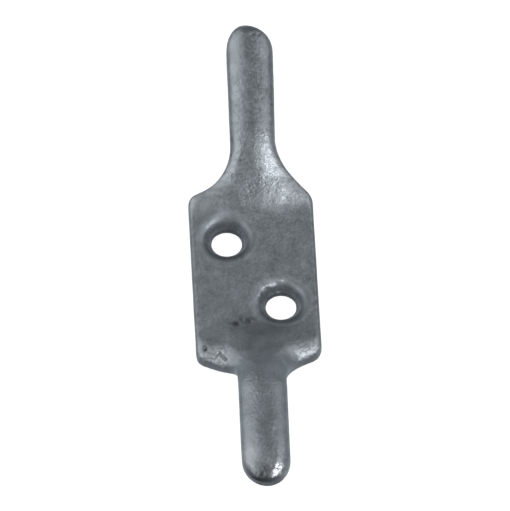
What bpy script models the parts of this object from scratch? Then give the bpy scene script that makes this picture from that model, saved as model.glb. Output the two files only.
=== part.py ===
"""Cleat horn: a one-piece galvanised iron casting.

A flat mounting plate carries two horns on its centre line.  Each end of the plate
sweeps up and narrows into a horn with an oval section and a rounded tip.  Two
countersunk screw holes are set on a diagonal of the plate.

Frame: metres.  X runs across the plate, Y along the horns, +Z out of the mounting
face.  The origin is at the centre of the mounting face, which lies in z = 0.
"""

import math

import bmesh
import bpy
import numpy as np

MM = 0.001

# Plate and horns
PLATE_THICKNESS = 2.3 * MM
TIP_Y = 49.6 * MM                   # from the plate's centre to the end of a horn
FAR_ROUNDING = 5.2 * MM             # length of the far horn's rounded end
NEAR_ROUNDING = 5.5 * MM            # length of the near horn's rounded end

# Outline corners as (x, y, rounding radius) in millimetres.  Each side of the plate has
# an outer corner and the inner corner where its shoulder meets the horn.  The casting is
# a rough one: its four shoulders differ a little.
FAR_LEFT = ((-11.0, 16.9, 1.9), (-3.2, 20.5, 8.1))
FAR_RIGHT = ((10.9, 16.4, 3.7), (4.7, 23.45, 9.1))
NEAR_LEFT = ((-11.0, -17.7, 2.2), (-4.1, -21.5, 2.0))
NEAR_RIGHT = ((10.85, -17.7, 3.0), (4.4, -20.2, 6.9))
# A horn's left and right side where its rounded end starts, and the x of its very end.
FAR_TIP = (-3.0, 5.25, 0.4)
NEAR_TIP = (-4.35, 4.05, 0.0)

# Screw holes: conical seats that narrow to a throat just above the mounting face
SCREW_CENTRES = ((-4.57 * MM, 8.03 * MM), (4.26 * MM, -6.12 * MM))
SCREW_HOLE_RADIUS = 2.67 * MM       # at the throat
THROAT_HEIGHT = 0.3 * MM
BACK_SLOPE = 0.7                    # how fast the hole opens from the throat to the back
SEAT_HALF_ANGLE = math.radians(36.5)
SEAT_RIM_RADIUS = 1.0 * MM          # soft outer rim of a seat
SEAT_RIM_LIFT = 0.02 * MM           # the rim's arc levels out this far above the face
SEAT_RUN_OUT = 1.0 * MM             # how far the cutter reaches past each face
SEAT_FLARE = 0.8 * MM               # how much it widens above the front face
SEAT_STEPS = 56
RIM_STEPS = 6

# Rounding of the edges: how far in from the outline it starts, and how deep it is.
PLATE_FRONT_EDGE = (0.65 * MM, 0.5 * MM)
PLATE_BACK_EDGE = (0.6 * MM, 0.45 * MM)
HORN_FRONT_EDGE = (7.0 * MM, 1.6 * MM)      # at most half the width at that place
HORN_BACK_EDGE = (3.6 * MM, 1.5 * MM)
TIP_EDGE_BAND = 3.5 * MM                    # the faces turn over faster at the horns' ends
# Distances from the centre between which the edge's form changes
FRONT_SECTION_CHANGE = (13.0 * MM, 20.0 * MM)
BACK_SECTION_CHANGE = (16.0 * MM, 26.0 * MM)
TIP_CHANGE = (43.0 * MM, 48.5 * MM)

# Slopes along the part, as (millimetres from the centre, steepness).  A face starts flat
# and climbs by the area under its own line.  The spine runs along the horns and the
# wings are the shoulders at its sides.  The near wings are rolled over more than raised.
FRONT_SPINE = ((8.7, 0.0), (16.7, 0.40), (22.5, 0.43), (28.0, 0.13), (52.0, 0.13))
FRONT_WINGS = {
    "far": ((9.0, 0.0), (13.8, 0.13), (15.8, 0.42), (20.5, 0.42), (28.0, 0.13), (52.0, 0.13)),
    "near": ((9.0, 0.0), (14.5, 0.15), (20.0, 0.15), (24.0, 0.40), (28.0, 0.13), (52.0, 0.13)),
}
BACK_SPINE = ((15.5, 0.0), (18.5, 0.38), (23.5, 0.38), (28.5, 0.13), (52.0, 0.13))
BACK_WINGS = {
    "far": ((15.0, 0.0), (17.0, 0.36), (21.0, 0.45), (28.0, 0.13), (52.0, 0.13)),
    "near": ((16.0, 0.0), (20.0, 0.15), (24.0, 0.40), (28.0, 0.13), (52.0, 0.13)),
}
WING_CHANGE = (1.8 * MM, 8.0 * MM)          # out from the centre line, spine turns to wing
WING_END = (21.0 * MM, 28.0 * MM)           # along the horn, the wings fade out

# Density of the mesh
CORNER_STEPS = 9
COLUMNS_PER_SIDE = 8
SHOULDER_ROWS = (14.0 * MM, 27.0 * MM)      # stretch where the rows lie closest
PLATE_SPACING = 1.1 * MM
SHOULDER_SPACING = 0.42 * MM
HORN_SPACING = 1.8 * MM
TIP_ROWS = 10
TIP_LAST_ANGLE = math.radians(88.0)
EDGE_SAMPLES = 2400
SLOPE_SAMPLES = 4000


def clear_scene():
    for item in list(bpy.data.objects):
        bpy.data.objects.remove(item, do_unlink=True)


def add_object(name, mesh):
    data = bpy.data.meshes.new(name)
    mesh.to_mesh(data)
    mesh.free()
    item = bpy.data.objects.new(name, data)
    bpy.context.scene.collection.objects.link(item)
    return item


def smooth_step(value, low, high):
    share = np.clip((value - low) / (high - low), 0.0, 1.0)
    return share * share * (3.0 - 2.0 * share)


def rounded_corner(before, corner, after, radius):
    """Points of an arc that rounds the corner between two straight runs."""
    corner = np.array(corner)
    to_before = np.array(before) - corner
    to_after = np.array(after) - corner
    to_before /= np.linalg.norm(to_before)
    to_after /= np.linalg.norm(to_after)
    half_angle = 0.5 * math.acos(float(to_before @ to_after))
    reach = radius / math.tan(half_angle)
    bisector = to_before + to_after
    bisector /= np.linalg.norm(bisector)
    centre = corner + bisector * radius / math.sin(half_angle)
    first = corner + to_before * reach - centre
    last = corner + to_after * reach - centre
    turn = math.atan2(first[0] * last[1] - first[1] * last[0], float(first @ last))
    points = []
    for step in range(CORNER_STEPS + 1):
        angle = turn * step / CORNER_STEPS
        cos_a = math.cos(angle)
        sin_a = math.sin(angle)
        points.append((centre[0] + first[0] * cos_a - first[1] * sin_a,
                       centre[1] + first[0] * sin_a + first[1] * cos_a))
    return points


def side_outline(near_corners, far_corners, near_tip_x, far_tip_x):
    """One side of the outline, from the near horn's rounded end to the far horn's."""
    route = [(near_tip_x * MM, NEAR_ROUNDING - TIP_Y, 0.0)]
    for x, y, radius in near_corners[::-1] + far_corners:
        route.append((x * MM, y * MM, radius * MM))
    route.append((far_tip_x * MM, TIP_Y - FAR_ROUNDING, 0.0))
    points = [route[0][:2]]
    for before, corner, after in zip(route, route[1:], route[2:]):
        points += rounded_corner(before[:2], corner[:2], after[:2], corner[2])
    points.append(route[-1][:2])
    return np.array(points)


class Outline:
    """The outline seen along Z: where its sides are, and how deep inside a point lies."""

    def __init__(self):
        self.left = side_outline(NEAR_LEFT, FAR_LEFT, NEAR_TIP[0], FAR_TIP[0])
        self.right = side_outline(NEAR_RIGHT, FAR_RIGHT, NEAR_TIP[1], FAR_TIP[1])
        rows = np.linspace(-TIP_Y, TIP_Y, EDGE_SAMPLES)
        left, right = self.sides(rows)
        self.edge = np.concatenate([np.stack([left, rows], 1), np.stack([right, rows], 1)[::-1]])

    def sides(self, y):
        left = np.interp(y, self.left[:, 1], self.left[:, 0])
        right = np.interp(y, self.right[:, 1], self.right[:, 0])
        rounding = np.where(y > 0.0, FAR_ROUNDING, NEAR_ROUNDING)
        into_tip = np.clip((np.abs(y) - (TIP_Y - rounding)) / rounding, 0.0, 1.0)
        width = np.sqrt(1.0 - into_tip ** 2)
        end = np.where(y > 0.0, FAR_TIP[2], NEAR_TIP[2]) * MM
        return end + (left - end) * width, end + (right - end) * width

    def depth(self, x, y):
        """Shortest distance from each point to the outline."""
        along = np.roll(self.edge, -1, axis=0) - self.edge
        length = np.maximum((along ** 2).sum(1), np.finfo(float).tiny)
        result = np.empty(x.size)
        for index, point in enumerate(zip(x.ravel(), y.ravel())):
            offset = np.array(point) - self.edge
            share = np.clip((offset * along).sum(1) / length, 0.0, 1.0)
            gap = offset - along * share[:, None]
            result[index] = math.sqrt((gap ** 2).sum(1).min())
        return result.reshape(x.shape)


def climb(distance, slopes):
    """Height reached at a distance, under a line of slopes that changes evenly."""
    places = np.array([place for place, _ in slopes]) * MM
    steepness = np.array([slope for _, slope in slopes])
    fine = np.linspace(0.0, places[-1], SLOPE_SAMPLES)
    slope = np.interp(fine, places, steepness)
    steps = 0.5 * (slope[1:] + slope[:-1]) * np.diff(fine)
    return np.interp(distance, fine, np.concatenate([[0.0], np.cumsum(steps)]))


def face_height(x, y, spine, wings):
    """Height of the front or the back face before its edges are rounded."""
    distance = np.abs(y)
    share = smooth_step(np.abs(x), *WING_CHANGE) * (1.0 - smooth_step(distance, *WING_END))
    wing = np.where(y > 0.0, climb(distance, wings["far"]), climb(distance, wings["near"]))
    return climb(distance, spine) * (1.0 - share) + wing * share


def edge_fall(depth, y, half_width, plate_edge, horn_edge, section_change):
    """How far a face falls away near the outline, as a quarter of an ellipse."""
    change = smooth_step(np.abs(y), *section_change)
    band = plate_edge[0] + (np.minimum(horn_edge[0], half_width) - plate_edge[0]) * change
    band += (TIP_EDGE_BAND - band) * smooth_step(np.abs(y), *TIP_CHANGE)
    fall = plate_edge[1] + (horn_edge[1] - plate_edge[1]) * change
    outward = 1.0 - np.clip(depth / band, 0.0, 1.0)
    return fall * (1.0 - np.sqrt(1.0 - outward ** 2))


def rows_to_tip(rounding):
    """Distances of the rows from the centre to one tip."""
    shoulder, neck = SHOULDER_ROWS
    rows = list(np.arange(0.0, shoulder, PLATE_SPACING))
    rows += list(np.arange(shoulder, neck, SHOULDER_SPACING))
    rows += list(np.arange(neck, TIP_Y - rounding, HORN_SPACING))
    angles = np.linspace(0.0, TIP_LAST_ANGLE, TIP_ROWS)
    rows += list(TIP_Y - rounding + rounding * np.sin(angles))
    return np.array(rows)


def casting_mesh():
    """A grid of points on the front and one on the back, closed along the outline."""
    outline = Outline()
    near_rows = -rows_to_tip(NEAR_ROUNDING)[:0:-1]
    rows = np.concatenate([near_rows, rows_to_tip(FAR_ROUNDING)])
    columns = np.arange(-COLUMNS_PER_SIDE, COLUMNS_PER_SIDE + 1)
    across = np.sin(0.5 * math.pi * columns / COLUMNS_PER_SIDE)
    left, right = outline.sides(rows)
    half_width = 0.5 * (right - left)[:, None]
    x = 0.5 * (left + right)[:, None] + half_width * across
    y = np.repeat(rows[:, None], len(across), axis=1)
    depth = outline.depth(x, y)
    front = PLATE_THICKNESS + face_height(x, y, FRONT_SPINE, FRONT_WINGS)
    front -= edge_fall(depth, y, half_width, PLATE_FRONT_EDGE, HORN_FRONT_EDGE,
                       FRONT_SECTION_CHANGE)
    back = face_height(x, y, BACK_SPINE, BACK_WINGS)
    back += edge_fall(depth, y, half_width, PLATE_BACK_EDGE, HORN_BACK_EDGE,
                      BACK_SECTION_CHANGE)

    mesh = bmesh.new()
    front_rows = grid_points(mesh, x, y, front)
    back_rows = grid_points(mesh, x, y, back)
    for grid in (front_rows, back_rows):
        for lower, upper in zip(grid, grid[1:]):
            for i in range(len(across) - 1):
                mesh.faces.new([lower[i], lower[i + 1], upper[i + 1], upper[i]])
    for column in (0, -1):
        for j in range(len(rows) - 1):
            mesh.faces.new([front_rows[j][column], front_rows[j + 1][column],
                            back_rows[j + 1][column], back_rows[j][column]])
    for row in (0, -1):
        mesh.faces.new(front_rows[row] + back_rows[row][::-1])
    bmesh.ops.recalc_face_normals(mesh, faces=mesh.faces)
    return mesh


def grid_points(mesh, x, y, z):
    return [[mesh.verts.new(point) for point in zip(*row)] for row in zip(x, y, z)]


def seat_profile():
    """Radius and height down the seat's wall, from below the plate to above it."""
    rim_top = PLATE_THICKNESS + SEAT_RIM_LIFT
    cone_top = rim_top - SEAT_RIM_RADIUS * (1.0 - math.sin(SEAT_HALF_ANGLE))
    cone_radius = SCREW_HOLE_RADIUS + (cone_top - THROAT_HEIGHT) * math.tan(SEAT_HALF_ANGLE)
    rim_centre = cone_radius + SEAT_RIM_RADIUS * math.cos(SEAT_HALF_ANGLE)
    back_radius = SCREW_HOLE_RADIUS + (THROAT_HEIGHT + SEAT_RUN_OUT) * BACK_SLOPE
    profile = [(back_radius, -SEAT_RUN_OUT), (SCREW_HOLE_RADIUS, THROAT_HEIGHT)]
    for step in range(RIM_STEPS + 1):
        angle = SEAT_HALF_ANGLE + (0.5 * math.pi - SEAT_HALF_ANGLE) * step / RIM_STEPS
        profile.append((rim_centre - SEAT_RIM_RADIUS * math.cos(angle),
                        rim_top - SEAT_RIM_RADIUS * (1.0 - math.sin(angle))))
    profile.append((profile[-1][0] + SEAT_FLARE, rim_top + SEAT_RUN_OUT))
    return profile


def seat_cutter(name, centre):
    mesh = bmesh.new()
    rings = []
    for radius, height in seat_profile():
        angles = [2.0 * math.pi * step / SEAT_STEPS for step in range(SEAT_STEPS)]
        rings.append([mesh.verts.new((radius * math.cos(a), radius * math.sin(a), height))
                      for a in angles])
    for lower, upper in zip(rings, rings[1:]):
        for step in range(SEAT_STEPS):
            after = (step + 1) % SEAT_STEPS
            mesh.faces.new([lower[step], lower[after], upper[after], upper[step]])
    mesh.faces.new(rings[0][::-1])
    mesh.faces.new(rings[-1])
    cutter = add_object(name, mesh)
    cutter.location = (centre[0], centre[1], 0.0)
    cutter.hide_render = True
    cutter.display_type = "WIRE"
    return cutter


def galvanised_iron():
    material = bpy.data.materials.new("galvanised_iron")
    material.use_nodes = True
    shader = material.node_tree.nodes["Principled BSDF"]
    shader.inputs["Base Color"].default_value = (0.30, 0.33, 0.36, 1.0)
    shader.inputs["Metallic"].default_value = 0.9
    shader.inputs["Roughness"].default_value = 0.5
    return material


def build():
    clear_scene()
    casting = add_object("cleat_casting", casting_mesh())
    casting.data.materials.append(galvanised_iron())
    for index, centre in enumerate(SCREW_CENTRES, start=1):
        cut = casting.modifiers.new(f"screw_hole_{index}", "BOOLEAN")
        cut.operation = "DIFFERENCE"
        cut.solver = "EXACT"
        cut.object = seat_cutter(f"seat_cutter_{index}", centre)
    casting.data.shade_smooth()
    casting.data.set_sharp_from_angle(angle=math.radians(40.0))


build()
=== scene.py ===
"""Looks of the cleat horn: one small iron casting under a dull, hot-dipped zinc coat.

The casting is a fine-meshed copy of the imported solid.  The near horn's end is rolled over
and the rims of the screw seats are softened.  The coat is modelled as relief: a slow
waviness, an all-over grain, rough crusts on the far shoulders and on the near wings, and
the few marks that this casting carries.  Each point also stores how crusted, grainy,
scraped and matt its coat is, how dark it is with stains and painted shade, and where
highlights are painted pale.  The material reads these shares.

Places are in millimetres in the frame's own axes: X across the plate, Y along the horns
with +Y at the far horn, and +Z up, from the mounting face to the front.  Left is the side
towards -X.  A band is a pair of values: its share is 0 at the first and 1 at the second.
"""

import math

import bmesh
import bpy
import numpy as np
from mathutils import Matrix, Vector, noise

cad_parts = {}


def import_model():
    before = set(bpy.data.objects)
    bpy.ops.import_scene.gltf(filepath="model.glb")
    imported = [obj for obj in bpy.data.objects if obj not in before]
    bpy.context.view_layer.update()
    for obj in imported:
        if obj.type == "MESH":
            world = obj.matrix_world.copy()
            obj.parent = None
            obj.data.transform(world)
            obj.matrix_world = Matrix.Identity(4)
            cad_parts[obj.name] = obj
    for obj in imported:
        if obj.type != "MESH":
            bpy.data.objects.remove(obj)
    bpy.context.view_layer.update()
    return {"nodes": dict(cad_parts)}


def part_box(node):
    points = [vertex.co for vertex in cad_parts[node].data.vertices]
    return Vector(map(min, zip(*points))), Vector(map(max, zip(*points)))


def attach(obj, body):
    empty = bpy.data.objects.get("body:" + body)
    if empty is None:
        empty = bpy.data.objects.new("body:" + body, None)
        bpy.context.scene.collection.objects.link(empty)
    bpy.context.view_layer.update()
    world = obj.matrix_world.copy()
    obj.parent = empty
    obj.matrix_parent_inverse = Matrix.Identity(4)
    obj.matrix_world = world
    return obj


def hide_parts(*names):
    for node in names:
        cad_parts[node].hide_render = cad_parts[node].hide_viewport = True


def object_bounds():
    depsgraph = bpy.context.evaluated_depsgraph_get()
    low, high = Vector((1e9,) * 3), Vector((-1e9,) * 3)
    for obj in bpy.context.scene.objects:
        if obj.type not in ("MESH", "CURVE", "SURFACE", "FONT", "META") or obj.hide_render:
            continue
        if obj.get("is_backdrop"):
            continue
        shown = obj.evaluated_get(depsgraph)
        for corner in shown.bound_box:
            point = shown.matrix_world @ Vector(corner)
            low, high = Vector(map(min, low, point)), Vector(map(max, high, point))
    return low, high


MM = 0.001
NODE = "cleat_casting"

# Camera: its direction from the object, and the stretch that its frame spans at the origin
CAMERA_AZIMUTH = math.radians(-2.7)
CAMERA_ELEVATION = math.radians(53.3)
CAMERA_DISTANCE = 1.95
FRAME_SPAN = 89.27 * MM
AIM_ABOVE_ORIGIN = 4.58 * MM        # up in the picture
SENSOR = 36.0

# Mesh of the coated surface
WELD_DISTANCE = 0.001 * MM
VOXEL = 0.2 * MM
SMOOTHING_ROUNDS = 6
SMOOTHING_SHARE = 0.5

# The near horn's end rolls over: (where it starts, where it is steepest, steepness)
ROLL_OVER = (41.0, 47.2, 0.22)
ROLL_OVER_HEIGHTS = (6.2, 9.6)      # from no lowering at all to the whole of it
ROLL_OVER_SHORTENING = 0.3

# Screw seats: their centres, and the bands of radius and height where their rims soften
SEATS = ((-4.57, 8.03), (4.26, -6.12))
RIM_RISE = (3.2, 3.7)
RIM_FALL = (4.9, 5.4)
RIM_HEIGHTS = (0.6, 1.2)
RIM_ROUNDS = 40
THROAT_BEAD = 0.12                  # zinc gathered in the throats of the holes
THROAT_BAND = (2.8, 3.3)

# Which way a point faces, as bands of its normal's Z
FRONT_FACING = (0.1, 0.4)
BACK_FACING = (0.6, 0.9)            # of -Z: the mounting face stays smooth

# Relief of the coat: (size of its features in mm, height in mm)
WAVINESS = (4.5, 0.030)
DIMPLES = (1.6, 0.016)
CRUST_SWELL = (2.2, 0.050)
CRUST_LUMPS = (0.9, 0.022)
CRUST_GRAIN = (0.55, 0.013)
SCRAPE_LUMPS = (0.8, 0.060)
WING_CRACKS = (1.3, 0.060)
WING_START = (14.0, 16.0)           # distance of the wings from the middle
CRACK_WIDTH = 0.16                  # as a share of the cells' size
GRAIN_SIZE = 0.5
PLATE_GRAIN = 0.007                 # its height on the plate
HORN_GRAIN = 0.024                  # and on the horns
GRAIN_LOST_IN_CRUST = 0.7
RAGGED = (0.6, 0.4)                 # size and strength of the ragged outlines of marks

# Fine bump: full on the horns' roots, less towards their ends and in the crusts
HORN_START = (12.5, 18.0)           # distance of the horns from the middle
HORN_END = (28.0, 42.0)
BUMP_LOST_AT_END = 0.6
BUMP_LOST_IN_CRUST = 0.6

# Crusts: their patches, and (where a crust starts, where it is full, how far the patches
# shift it) in mm.  The far crust is a share of a full one.
CRUST_PATCHES = (2.6, 0.25)         # size and strength
FAR_CRUST = 0.6
FAR_CRUST_START = (12.0, 15.4, 6.0)
FAR_CRUST_RIGHT = (-2.0, 5.5, 5.0)
FAR_CRUST_RIGHT_END = (22.0, 40.0)  # the band along the horn where it fades out
FAR_CRUST_LEFT = (3.0, 6.0, 3.0)
NEAR_CRUST_START = (14.9, 16.3, 2.0)
NEAR_CRUST_RIGHT = (4.5, 7.2, 3.0)
NEAR_CRUST_LEFT = (4.5, 6.6, 3.0)

# Single marks on the front: (x, y, radius along X, radius along Y, height), in mm
PITS = (
    (-9.4, -16.1, 0.30, 0.45, -0.34),       # black pit on the left wing
    (4.2, -2.9, 0.60, 0.30, -0.12),         # under the far rim of the right seat
    (-3.7, -10.3, 0.90, 0.75, -0.14),       # two scars on the near half of the plate
    (-1.6, -10.3, 0.75, 0.50, -0.12),
    (1.8, 47.0, 0.40, 0.35, -0.14),         # two on the far horn's end
    (2.8, 46.9, 0.40, 0.35, -0.14),
    (-0.9, -48.0, 0.40, 0.40, -0.12),       # two on the near horn's end
    (-1.9, -47.8, 0.35, 0.30, -0.12),
)
BEADS = (
    (-6.9, 11.7, 1.50, 0.75, 0.03),         # on the left seat's rim
    (1.9, -2.5, 0.80, 0.45, 0.16),          # on the right seat's rim
    (3.0, -2.7, 0.45, 0.40, 0.14),
    (4.2, -1.5, 0.50, 0.40, 0.14),
    (0.6, -4.1, 0.45, 0.60, 0.10),
    (1.6, -45.7, 1.40, 1.40, 0.24),         # behind the scrape on the near horn's end
    (1.2, -37.9, 0.32, 0.60, 0.10),         # small drips on the near horn
    (0.9, -39.4, 0.28, 0.45, 0.08),
    (3.1, -42.6, 0.30, 0.40, 0.08),
)
SCRATCHES = (                               # (x, y) of the ends, half width, height, darkening
    ((-7.8, -18.2), (-7.0, -17.2), 0.22, -0.20, 0.6),
    ((-7.0, -17.2), (-6.0, -18.9), 0.22, -0.20, 0.6),
)
SCRAPE = (2.2, -47.3, 2.2, 2.6)             # shiny scrape on the near horn's end

# Dark colour on the front, real scars and painted shade: (x, y, radius along X, radius along Y,
# share)
STAINS_AND_SHADE = (
    (1.5, -12.0, 6.0, 2.6, 0.45),           # painted shade on the plate before the near root
    (-0.5, -17.5, 4.2, 3.6, 0.22),          # painted shade on the near root
    (-3.85, -10.6, 0.85, 0.75, 0.90),       # scars on the plate, and the smudge round them
    (-2.9, -9.8, 0.55, 0.60, 0.70),
    (-1.5, -10.0, 0.95, 0.80, 0.85),
    (-2.8, -10.5, 2.4, 1.3, 0.45),
    (-4.4, -11.8, 1.8, 1.1, 0.30),
    (-9.4, -16.1, 0.50, 0.75, 1.0),         # black pit
    (-3.2, -18.2, 1.9, 1.9, 0.30),          # painted shade in the left root of the near horn
    (-1.6, -48.6, 3.4, 2.4, 0.85),          # painted shade on the near horn's end
    (1.2, 47.8, 2.6, 1.0, 0.45),            # painted shade on the far horn's end
    (0.6, 44.5, 2.2, 3.0, 0.14),
    (0.6, 29.5, 1.1, 8.0, 0.12),            # painted shade in streaks along the far horn
    (3.6, 38.0, 1.7, 9.0, 0.18),
    (-6.9, 11.4, 2.2, 1.2, 0.25),           # painted shade on the left seat's rim
    (7.3, -4.6, 1.3, 1.5, 0.35),            # painted shade on the walls and rim of the right seat
    (1.5, -5.2, 0.8, 1.6, 0.45),
    (4.8, -3.5, 1.6, 0.8, 0.40),
)
# Painted highlights on the front: (x, y, radius along X, radius along Y, share)
PAINTED_HIGHLIGHTS = (
    (-2.9, -44.0, 1.8, 4.0, 0.35),          # painted highlight on the near horn
    (2.9, -2.0, 1.9, 0.9, 0.45),            # painted highlight on the far rim of the right seat
    (9.2, -15.9, 1.3, 1.2, 0.50),           # painted highlight on the right wing
    (7.0, 17.2, 3.2, 2.4, 0.55),            # painted highlight on the far right shoulder
)
# How much darker the cracks in the wings' crust are
CRACK_DARKENING = 0.35

# Dull specks on the far root and horn: their size, share, level and swing round it
SPECKS = (0.75, 0.22, 0.3, 1.6)
SPECKS_RISE = (13.0, 17.0)
SPECKS_FALL = (30.0, 44.0)

# Painted shade along the edges of the plate's sides
EDGE_SHADE = 0.42
EDGE_SHADE_BAND = (9.8, 10.3)       # distance from the centre line
EDGE_SHADE_END = (12.0, 16.0)       # distance from the middle, along the plate
EDGE_SHADE_TILT = (0.1, 0.4)        # fades out as the surface turns away from +Z
EDGE_PATCHES = (0.9, 0.7)           # size and strength
EDGE_SHADE_SEAT_GAP = (4.6, 5.4)    # radius round a seat's centre

# Painted shade in the screw seats
SEAT_SHADE = (0.01, 0.42, 0.68)     # all over a seat, more on its left, more on its near side
SEAT_REACH = 5.1                    # radius where the stain ends
SEAT_REACH_NEAR = 0.9               # and how much further it goes on the near side
SEAT_FADE = 1.7
RIM_SHADE = 0.40                    # on the right of a seat's rim
RIM_SHADE_RISE = (3.4, 4.0)
RIM_SHADE_FALL = (4.9, 5.5)
THROAT_SHADE = 0.40
THROAT_SHADE_BAND = (2.9, 3.4)
MATT_RISE = (3.2, 4.0)
MATT_FALL = (5.0, 6.0)

# Zinc: colours, and roughness from the smooth to the rough grains
ZINC_DARK = (0.43, 0.47, 0.50, 1.0)
ZINC_LIGHT = (0.63, 0.685, 0.73, 1.0)
# Pale colour for the pale crusts, the scrape and the painted highlights
ZINC_PALE = (0.88, 0.93, 0.97, 1.0)
# Dark colour for stains and for painted shade
ZINC_STAIN_AND_SHADE = (0.10, 0.11, 0.12, 1.0)
ZINC_METALLIC = 0.9
# How much paler the crusts are: partly rough zinc, partly painted highlight on the wings and far
# shoulders
CRUST_PALENESS_AND_HIGHLIGHT = 0.42
MOTTLE = (0.4, 5.0, 0.7)            # features per mm, detail, share in the colour
GRAIN = (2.4, 3.0, 0.3)
COLOUR_BAND = (0.32, 0.66)
GRAIN_BAND = (0.3, 0.7)
ROUGHNESS = (0.32, 0.44)
ROUGHNESS_CHANGES = (("scrape", -0.04), ("crust", 0.10), ("matt", 0.12))
BUMP_GRAIN = (2.6, 3.0)             # features per mm, detail
BUMP_STRENGTH = (0.13, 0.75)        # on the plate, and where it is full
BUMP_DISTANCE = 0.09 * MM

# The room: its brightness at each height of the direction (-1 down, 1 up), in front of
# the object, where the camera stands, and behind it
ROOM_HEIGHTS = (-1.0, -0.2, 0.1, 0.45, 0.8, 1.0)
ROOM_FRONT = (0.16, 0.16, 0.13, 0.10, 0.11, 0.09)
ROOM_BACK = (0.40, 0.34, 0.20, 0.10, 0.11, 0.09)
ROOM_TINT = (0.95, 1.0, 1.06)
ROOM_BLEND = 0.4                    # half of the band where front turns into back

# Round soft lights: (name, azimuth and elevation in degrees, size in m, brightness)
LIGHTS = (
    ("right_high", 80.0, 60.0, 0.45, 6.3),
    ("right_back", 140.0, 40.0, 0.60, 0.6),
    ("left_side", -90.0, 52.0, 0.60, 1.5),
    ("left_back", -135.0, 40.0, 1.10, 0.6),
)
LIGHT_DISTANCE = 1.2                # m from the middle of the casting

FLOOR_HALF_WIDTH = 3.0
FLOOR_SEGMENTS = 8
FLOOR_GAP = 0.02 * MM


# ---------------------------------------------------------------- helpers

def smooth_step(value, low, high):
    share = np.clip((value - low) / (high - low), 0.0, 1.0)
    return share * share * (3.0 - 2.0 * share)


def between(value, rise, fall):
    """1 between two bands, fading to 0 across each of them."""
    return smooth_step(value, *rise) * (1.0 - smooth_step(value, *fall))


def add_object(name, data):
    item = bpy.data.objects.new(name, data)
    bpy.context.scene.collection.objects.link(item)
    return item


def direction(azimuth, elevation):
    """Unit vector from the object: azimuth 0 is the near side, turning towards +X."""
    return Vector((math.sin(azimuth) * math.cos(elevation),
                   -math.cos(azimuth) * math.cos(elevation),
                   math.sin(elevation)))


class Nodes:
    """Adds nodes to a tree: an input is a number, a colour, or another node's output."""

    def __init__(self, tree):
        self.tree = tree

    def add(self, kind, inputs=None, output=0, **settings):
        node = self.tree.nodes.new(kind)
        for name, value in settings.items():
            setattr(node, name, value)
        for name, value in (inputs or {}).items():
            if isinstance(value, bpy.types.NodeSocket):
                self.tree.links.new(value, node.inputs[name])
            else:
                node.inputs[name].default_value = value
        return node.outputs[output]

    def math(self, operation, first, second):
        return self.add("ShaderNodeMath", {0: first, 1: second}, operation=operation)

    def mix(self, factor, first, second):
        return self.add("ShaderNodeMix", {0: factor, 6: first, 7: second}, output=2,
                        data_type="RGBA")

    def noise(self, place, scale, detail):
        return self.add("ShaderNodeTexNoise", {"Vector": place, "Scale": scale, "Detail": detail})

    def rescale(self, value, before, after, **settings):
        """Turns a value in one band into the value at the same share of another band."""
        bands = {"Value": value, "From Min": before[0], "From Max": before[1],
                 "To Min": after[0], "To Max": after[1]}
        return self.add("ShaderNodeMapRange", bands, **settings)

    def ramp(self, factor, stops):
        output = self.add("ShaderNodeValToRGB", {"Fac": factor})
        ramp = output.node.color_ramp
        while len(ramp.elements) < len(stops):
            ramp.elements.new(0.5)
        for element, (place, colour) in zip(ramp.elements, stops):
            element.position = place
            element.color = colour
        return output


# ---------------------------------------------------------------- casting

def fine_copy(node):
    """A copy of the CAD casting with small, even faces."""
    mesh = node.data.copy()
    welded = bmesh.new()
    welded.from_mesh(mesh)
    bmesh.ops.remove_doubles(welded, verts=welded.verts, dist=WELD_DISTANCE)
    welded.to_mesh(mesh)
    welded.free()
    piece = add_object("galvanised_casting", mesh)
    even = piece.modifiers.new("even_faces", "REMESH")
    even.mode = "VOXEL"
    even.voxel_size = VOXEL
    even.use_smooth_shade = True
    ready = piece.evaluated_get(bpy.context.evaluated_depsgraph_get())
    fine = bpy.data.meshes.new_from_object(ready)
    piece.modifiers.clear()
    piece.data = fine
    piece.data.materials.clear()
    return piece


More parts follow.
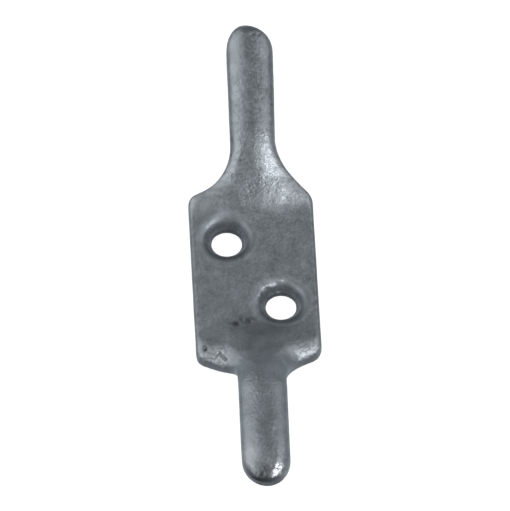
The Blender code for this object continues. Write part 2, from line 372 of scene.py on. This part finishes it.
class Surface:
    """The piece's points and normals as arrays, in millimetres."""

    def __init__(self, mesh):
        self.mesh = mesh
        self.points = self.read(mesh.vertices, "co", 3) / MM
        self.edges = self.read(mesh.edges, "vertices", 2).astype(int)
        self.refresh()

    @staticmethod
    def read(items, name, width):
        values = np.zeros(len(items) * width, np.float32 if name == "co" else np.int32)
        items.foreach_get(name, values)
        return values.reshape(-1, width).astype(float)

    def refresh(self):
        """Writes the points to the mesh and reads the new normals."""
        self.mesh.vertices.foreach_set("co", (self.points * MM).astype(np.float32).ravel())
        self.mesh.update()
        normals = np.zeros(len(self.points) * 3, np.float32)
        self.mesh.vertex_normals.foreach_get("vector", normals)
        self.normals = normals.reshape(-1, 3).astype(float)

    def relax(self, rounds, share):
        """Moves each point part of the way to the middle of its neighbours.

        The share is one number, or one for each point.
        """
        first, second = self.edges.T
        size = len(self.points)
        count = np.bincount(self.edges.ravel(), minlength=size)
        for _ in range(rounds):
            for axis in range(3):
                value = self.points[:, axis]
                total = np.bincount(first, value[second], size)
                total += np.bincount(second, value[first], size)
                self.points[:, axis] = value + share * (total / count - value)
        self.refresh()

    def raise_by(self, height):
        """Moves each point out along its normal by its own height."""
        self.points += self.normals * height.reshape(-1, 1)
        self.refresh()

    def off_back(self):
        """0 where the surface faces straight down, on the mounting face, and 1 elsewhere."""
        return 1.0 - smooth_step(-self.normals[:, 2], *BACK_FACING)

    def mark_front(self):
        """Keeps what faces up, and how ragged the outlines of marks are at each point."""
        self.front = smooth_step(self.normals[:, 2], *FRONT_FACING)
        self.ragged = 1.0 + RAGGED[1] * self.noise(RAGGED[0], 8)

    def noise(self, size, seed):
        """Smooth noise from about -1 to 1, with features of that size.

        Each seed gives another pattern, and a pattern is the same on every run.
        """
        offset = Vector((17.3 * seed, -9.1 * seed, 5.7 * seed))
        return np.array([noise.noise(Vector(point) / size + offset) for point in self.points])

    def cracks(self, size, seed):
        """0 in the cells of a cracked pattern, rising to 1 on the lines between them."""
        offset = Vector((3.1 * seed, 7.7 * seed, -4.9 * seed))
        result = np.empty(len(self.points))
        for index, point in enumerate(self.points):
            distances = noise.voronoi(Vector(point) / size + offset)[0]
            result[index] = distances[1] - distances[0]
        return 1.0 - smooth_step(result, 0.0, CRACK_WIDTH)

    def radius(self, centre):
        """Distance of each point from the upright axis through a centre."""
        return np.linalg.norm(self.points[:, :2] - centre, axis=1)

    def store(self, name, values):
        layer = self.mesh.attributes.new(name, "FLOAT", "POINT")
        layer.data.foreach_set("value", np.clip(values, 0.0, 1.0).astype(np.float32))


def roll_over(surface):
    """Lowers the near horn's end so that its front turns down towards the tip."""
    start, end, steepness = ROLL_OVER
    along = np.clip(-surface.points[:, 1] - start, 0.0, end - start)
    height = surface.points[:, 2]
    share = smooth_step(height, *ROLL_OVER_HEIGHTS)
    surface.points[:, 2] = height - 0.5 * steepness * along ** 2 / (end - start) * share
    surface.points[:, 1] += ROLL_OVER_SHORTENING * (along / (end - start)) ** 2
    surface.refresh()


# ---------------------------------------------------------------- screw seats

def soften_rims(surface):
    """Rounds the rims of the screw seats as the thick zinc does."""
    band = sum(between(surface.radius(centre), RIM_RISE, RIM_FALL) for centre in SEATS)
    band *= smooth_step(surface.points[:, 2], *RIM_HEIGHTS)
    surface.relax(RIM_ROUNDS, SMOOTHING_SHARE * band)


def fill_throats(surface):
    """Narrows the screw holes by the zinc that gathers in their throats."""
    throats = sum(1.0 - smooth_step(surface.radius(centre), *THROAT_BAND) for centre in SEATS)
    surface.raise_by(THROAT_BEAD * throats * surface.off_back())


def matt_share(surface):
    """1 on the rims of the screw seats, where the zinc is matt."""
    return sum(between(surface.radius(centre), MATT_RISE, MATT_FALL) for centre in SEATS)


def painted_seat_shade(surface, centre):
    """Painted shade in a screw seat, most on its near side and in its throat, with some on the
    right of its rim.
    """
    radius = surface.radius(centre)
    across, along = ((surface.points[:, :2] - centre) / radius[:, None]).T
    left = np.clip(-across, 0.0, 1.0)
    right = np.clip(across, 0.0, 1.0)
    near = np.clip(-along, 0.0, 1.0)
    share = SEAT_SHADE[0] + SEAT_SHADE[1] * left + SEAT_SHADE[2] * near
    reach = SEAT_REACH + SEAT_REACH_NEAR * near
    seat = share * (1.0 - smooth_step(radius, reach - SEAT_FADE, reach))
    throat = THROAT_SHADE * (1.0 - smooth_step(radius, *THROAT_SHADE_BAND))
    rim = RIM_SHADE * right * between(radius, RIM_SHADE_RISE, RIM_SHADE_FALL)
    return np.maximum(seat, throat) + rim


# ---------------------------------------------------------------- crusts, marks, stains, painted shade and painted highlights

def crust_share(surface):
    """Where the zinc lies rough: on the two far shoulders and on the two near wings."""
    x, y, _ = surface.points.T
    patches = CRUST_PATCHES[1] * surface.noise(CRUST_PATCHES[0], 3)

    def beyond(value, start, full, shift):
        return smooth_step(value + patches * shift, start, full)

    right = beyond(x, *FAR_CRUST_RIGHT) * (1.0 - smooth_step(y, *FAR_CRUST_RIGHT_END))
    left = beyond(-x, *FAR_CRUST_LEFT)
    far = FAR_CRUST * beyond(y, *FAR_CRUST_START) * np.maximum(right, left)
    wings = np.maximum(beyond(x, *NEAR_CRUST_RIGHT), beyond(-x, *NEAR_CRUST_LEFT))
    near = beyond(-y, *NEAR_CRUST_START) * wings
    return surface.front * np.maximum(far, near)


def patch(surface, x, y, radius_x, radius_y):
    """1 at a place on the front, fading out over a soft, slightly ragged oval."""
    across, along, _ = surface.points.T
    distance = np.hypot((across - x) / radius_x, (along - y) / radius_y)
    return np.exp(-(distance * surface.ragged) ** 2) * surface.front


def scratch(surface, start, end, half_width):
    """1 along a straight scratch on the front."""
    place = surface.points[:, :2] - start
    run = np.subtract(end, start)
    share = np.clip(place @ run / (run @ run), 0.0, 1.0)
    distance = np.linalg.norm(place - share[:, None] * run, axis=1)
    return np.exp(-(distance * surface.ragged / half_width) ** 2) * surface.front


def painted_edge_shade(surface):
    """Painted shade along the front edges of the plate's sides, broken by patches."""
    x, y, _ = surface.points.T
    level = 1.0 - smooth_step(1.0 - surface.normals[:, 2], *EDGE_SHADE_TILT)
    stain_and_shade = EDGE_SHADE * smooth_step(np.abs(x), *EDGE_SHADE_BAND) * level
    stain_and_shade *= 1.0 - smooth_step(np.abs(y), *EDGE_SHADE_END)
    return stain_and_shade * (1.0 + EDGE_PATCHES[1] * surface.noise(EDGE_PATCHES[0], 12))


def speck_stain(surface):
    """Small dull specks on the far root, fading out along the far horn."""
    size, share, level, swing = SPECKS
    place = between(surface.points[:, 1], SPECKS_RISE, SPECKS_FALL)
    return place * share * (level + swing * surface.noise(size, 11))


def stain_and_shade_share(surface):
    """Where the zinc is dark: painted shade along the plate's edges, in the seats and in some
    patches, and stains, scars and specks.
    """
    stain_and_shade = painted_edge_shade(surface)
    for centre in SEATS:
        stain_and_shade *= smooth_step(surface.radius(centre), *EDGE_SHADE_SEAT_GAP)
        stain_and_shade += painted_seat_shade(surface, centre)
    for *oval, share in STAINS_AND_SHADE:
        stain_and_shade = np.maximum(stain_and_shade, share * patch(surface, *oval))
    for start, end, half_width, _, share in SCRATCHES:
        stain_and_shade = np.maximum(stain_and_shade, share * scratch(surface, start, end, half_width))
    return (stain_and_shade + speck_stain(surface)) * surface.off_back()


def painted_highlight_share(surface):
    """Where highlights are painted pale on the front."""
    return sum(share * patch(surface, *oval) for *oval, share in PAINTED_HIGHLIGHTS)


def bump_share(surface, crust, horn):
    """How strong the fine bump of the material is."""
    away = np.abs(surface.points[:, 1])
    share = horn * (1.0 - BUMP_LOST_AT_END * smooth_step(away, *HORN_END))
    return share * (1.0 - BUMP_LOST_IN_CRUST * crust)


def add_coat(surface):
    """Gives the smooth casting the relief of its zinc coat."""
    free = surface.off_back()
    surface.raise_by(free * WAVINESS[1] * surface.noise(WAVINESS[0], 1))
    surface.mark_front()
    crust = crust_share(surface)
    scrape = patch(surface, *SCRAPE)
    horn = smooth_step(np.abs(surface.points[:, 1]), *HORN_START)
    cracks = crust * smooth_step(-surface.points[:, 1], *WING_START)
    cracks *= surface.cracks(WING_CRACKS[0], 7)
    grain = (HORN_GRAIN - PLATE_GRAIN) * horn * (1.0 - GRAIN_LOST_IN_CRUST * crust)
    grain += PLATE_GRAIN

    relief = DIMPLES[1] * surface.noise(DIMPLES[0], 2)
    relief += grain * surface.noise(GRAIN_SIZE, 4)
    relief += crust * CRUST_SWELL[1] * surface.noise(CRUST_SWELL[0], 10)
    relief += crust * CRUST_LUMPS[1] * surface.noise(CRUST_LUMPS[0], 5)
    relief += crust * CRUST_GRAIN[1] * surface.noise(CRUST_GRAIN[0], 6)
    relief += scrape * SCRAPE_LUMPS[1] * surface.noise(SCRAPE_LUMPS[0], 9)
    relief -= cracks * WING_CRACKS[1]
    for *oval, height in PITS + BEADS:
        relief += height * patch(surface, *oval)
    for start, end, half_width, height, _ in SCRATCHES:
        relief += height * scratch(surface, start, end, half_width)

    surface.store("crust", crust)
    surface.store("scrape", scrape)
    surface.store("grainy", bump_share(surface, crust, horn))
    surface.store("stain_and_shade", np.maximum(stain_and_shade_share(surface), CRACK_DARKENING * cracks))
    surface.raise_by(free * relief)
    # The pale share holds the painted highlights
    surface.store("pale", painted_highlight_share(surface))
    surface.store("matt", matt_share(surface))


# ---------------------------------------------------------------- materials

def new_material(name):
    material = bpy.data.materials.new(name)
    material.use_nodes = True
    return material, material.node_tree.nodes["Principled BSDF"]


def zinc_material():
    material, shader = new_material("galvanised_iron")
    nodes = Nodes(material.node_tree)
    stored = {}
    for name in ("crust", "scrape", "grainy", "stain_and_shade", "pale", "matt"):
        stored[name] = nodes.add("ShaderNodeAttribute", attribute_name=name, output="Fac")
    place = nodes.add("ShaderNodeTexCoord", output="Object")
    place = nodes.add("ShaderNodeMapping", {"Vector": place, "Scale": (1.0 / MM,) * 3})
    mottle = nodes.noise(place, *MOTTLE[:2])
    grain = nodes.noise(place, *GRAIN[:2])

    mix = nodes.math("ADD", nodes.math("MULTIPLY", mottle, MOTTLE[2]),
                     nodes.math("MULTIPLY", grain, GRAIN[2]))
    colour = nodes.ramp(mix, list(zip(COLOUR_BAND, (ZINC_DARK, ZINC_LIGHT))))
    # Crust paleness (partly painted highlight), the scrape and the painted highlights lighten the
    # colour
    pale = nodes.math("MULTIPLY", stored["crust"], CRUST_PALENESS_AND_HIGHLIGHT)
    for name in ("scrape", "pale"):
        pale = nodes.math("MAXIMUM", pale, stored[name])
    colour = nodes.mix(pale, colour, ZINC_PALE)
    # Stains and painted shade darken the colour
    colour = nodes.mix(stored["stain_and_shade"], colour, ZINC_STAIN_AND_SHADE)
    material.node_tree.links.new(colour, shader.inputs["Base Color"])

    rough = nodes.rescale(grain, GRAIN_BAND, ROUGHNESS)
    for name, change in ROUGHNESS_CHANGES:
        rough = nodes.math("ADD", rough, nodes.math("MULTIPLY", stored[name], change))
    material.node_tree.links.new(rough, shader.inputs["Roughness"])
    shader.inputs["Metallic"].default_value = ZINC_METALLIC

    bump = nodes.add("ShaderNodeBump", {
        "Height": nodes.noise(place, *BUMP_GRAIN),
        "Strength": nodes.rescale(stored["grainy"], (0.0, 1.0), BUMP_STRENGTH),
        "Distance": BUMP_DISTANCE,
    })
    material.node_tree.links.new(bump, shader.inputs["Normal"])
    return material


def floor_material():
    """A matt sheet that glows, so that it stays evenly pale."""
    material, shader = new_material("pale_floor")
    shader.inputs["Base Color"].default_value = (0.30, 0.30, 0.30, 1.0)
    shader.inputs["Roughness"].default_value = 0.9
    shader.inputs["Specular IOR Level"].default_value = 0.0
    shader.inputs["Emission Color"].default_value = (1.0, 1.0, 1.0, 1.0)
    shader.inputs["Emission Strength"].default_value = 1.0
    return material


# ---------------------------------------------------------------- floor, room, lights, camera

def add_floor(lowest):
    """A wide pale sheet just under the casting."""
    sheet = bmesh.new()
    bmesh.ops.create_grid(sheet, x_segments=FLOOR_SEGMENTS, y_segments=FLOOR_SEGMENTS,
                          size=FLOOR_HALF_WIDTH)
    data = bpy.data.meshes.new("floor")
    sheet.to_mesh(data)
    sheet.free()
    floor = add_object("floor", data)
    floor.location.z = lowest - FLOOR_GAP
    floor.data.materials.append(floor_material())
    floor.visible_glossy = False
    floor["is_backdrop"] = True


def add_world():
    """A dim, even room: two ramps by height, one for the front and one for the back."""
    world = bpy.data.worlds.new("studio")
    world.use_nodes = True
    bpy.context.scene.world = world
    nodes = Nodes(world.node_tree)
    towards = nodes.add("ShaderNodeTexCoord", output="Generated")
    parts = nodes.add("ShaderNodeSeparateXYZ", {"Vector": towards}).node.outputs
    height = nodes.rescale(parts["Z"], (-1.0, 1.0), (0.0, 1.0))
    ramps = []
    for values in (ROOM_FRONT, ROOM_BACK):
        stops = []
        for place, value in zip(ROOM_HEIGHTS, values):
            stops.append(((place + 1.0) / 2.0, tuple(value * tint for tint in ROOM_TINT) + (1.0,)))
        ramps.append(nodes.ramp(height, stops))
    back = nodes.rescale(parts["Y"], (-ROOM_BLEND, ROOM_BLEND), (0.0, 1.0),
                         interpolation_type="SMOOTHSTEP")
    colour = nodes.mix(back, *ramps)
    world.node_tree.links.new(colour, world.node_tree.nodes["Background"].inputs["Color"])


def add_light(name, azimuth, elevation, size, brightness, centre):
    """A round soft light.  Brightness is what a mirror facing it would show."""
    data = bpy.data.lights.new(name, "AREA")
    data.shape = "DISK"
    data.size = size
    area = math.pi * size * size / 4.0
    data.energy = brightness * area * math.pi
    light = add_object(name, data)
    towards = direction(math.radians(azimuth), math.radians(elevation))
    light.location = centre + towards * LIGHT_DISTANCE
    light.rotation_euler = towards.to_track_quat("Z", "Y").to_euler()
    light.visible_camera = False


def add_camera():
    data = bpy.data.cameras.new("camera")
    data.sensor_width = SENSOR
    data.lens = SENSOR * CAMERA_DISTANCE / FRAME_SPAN
    data.clip_start = 0.01
    data.clip_end = 10.0
    camera = add_object("camera", data)
    towards = direction(CAMERA_AZIMUTH, CAMERA_ELEVATION)
    up = direction(CAMERA_AZIMUTH + math.pi, math.pi / 2.0 - CAMERA_ELEVATION)
    camera.location = up * AIM_ABOVE_ORIGIN + towards * CAMERA_DISTANCE
    camera.rotation_euler = towards.to_track_quat("Z", "Y").to_euler()
    bpy.context.scene.camera = camera


# ---------------------------------------------------------------- scene

def build():
    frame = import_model()
    low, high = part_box(NODE)
    casting = fine_copy(frame["nodes"][NODE])
    surface = Surface(casting.data)
    surface.relax(SMOOTHING_ROUNDS, SMOOTHING_SHARE)
    soften_rims(surface)
    roll_over(surface)
    fill_throats(surface)
    add_coat(surface)
    casting.data.materials.append(zinc_material())
    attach(casting, "root")
    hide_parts(NODE)
    add_floor(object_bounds()[0].z)
    add_world()
    for light in LIGHTS:
        add_light(*light, (low + high) / 2.0)
    add_camera()
    bpy.context.scene.view_settings.view_transform = "Standard"


build()
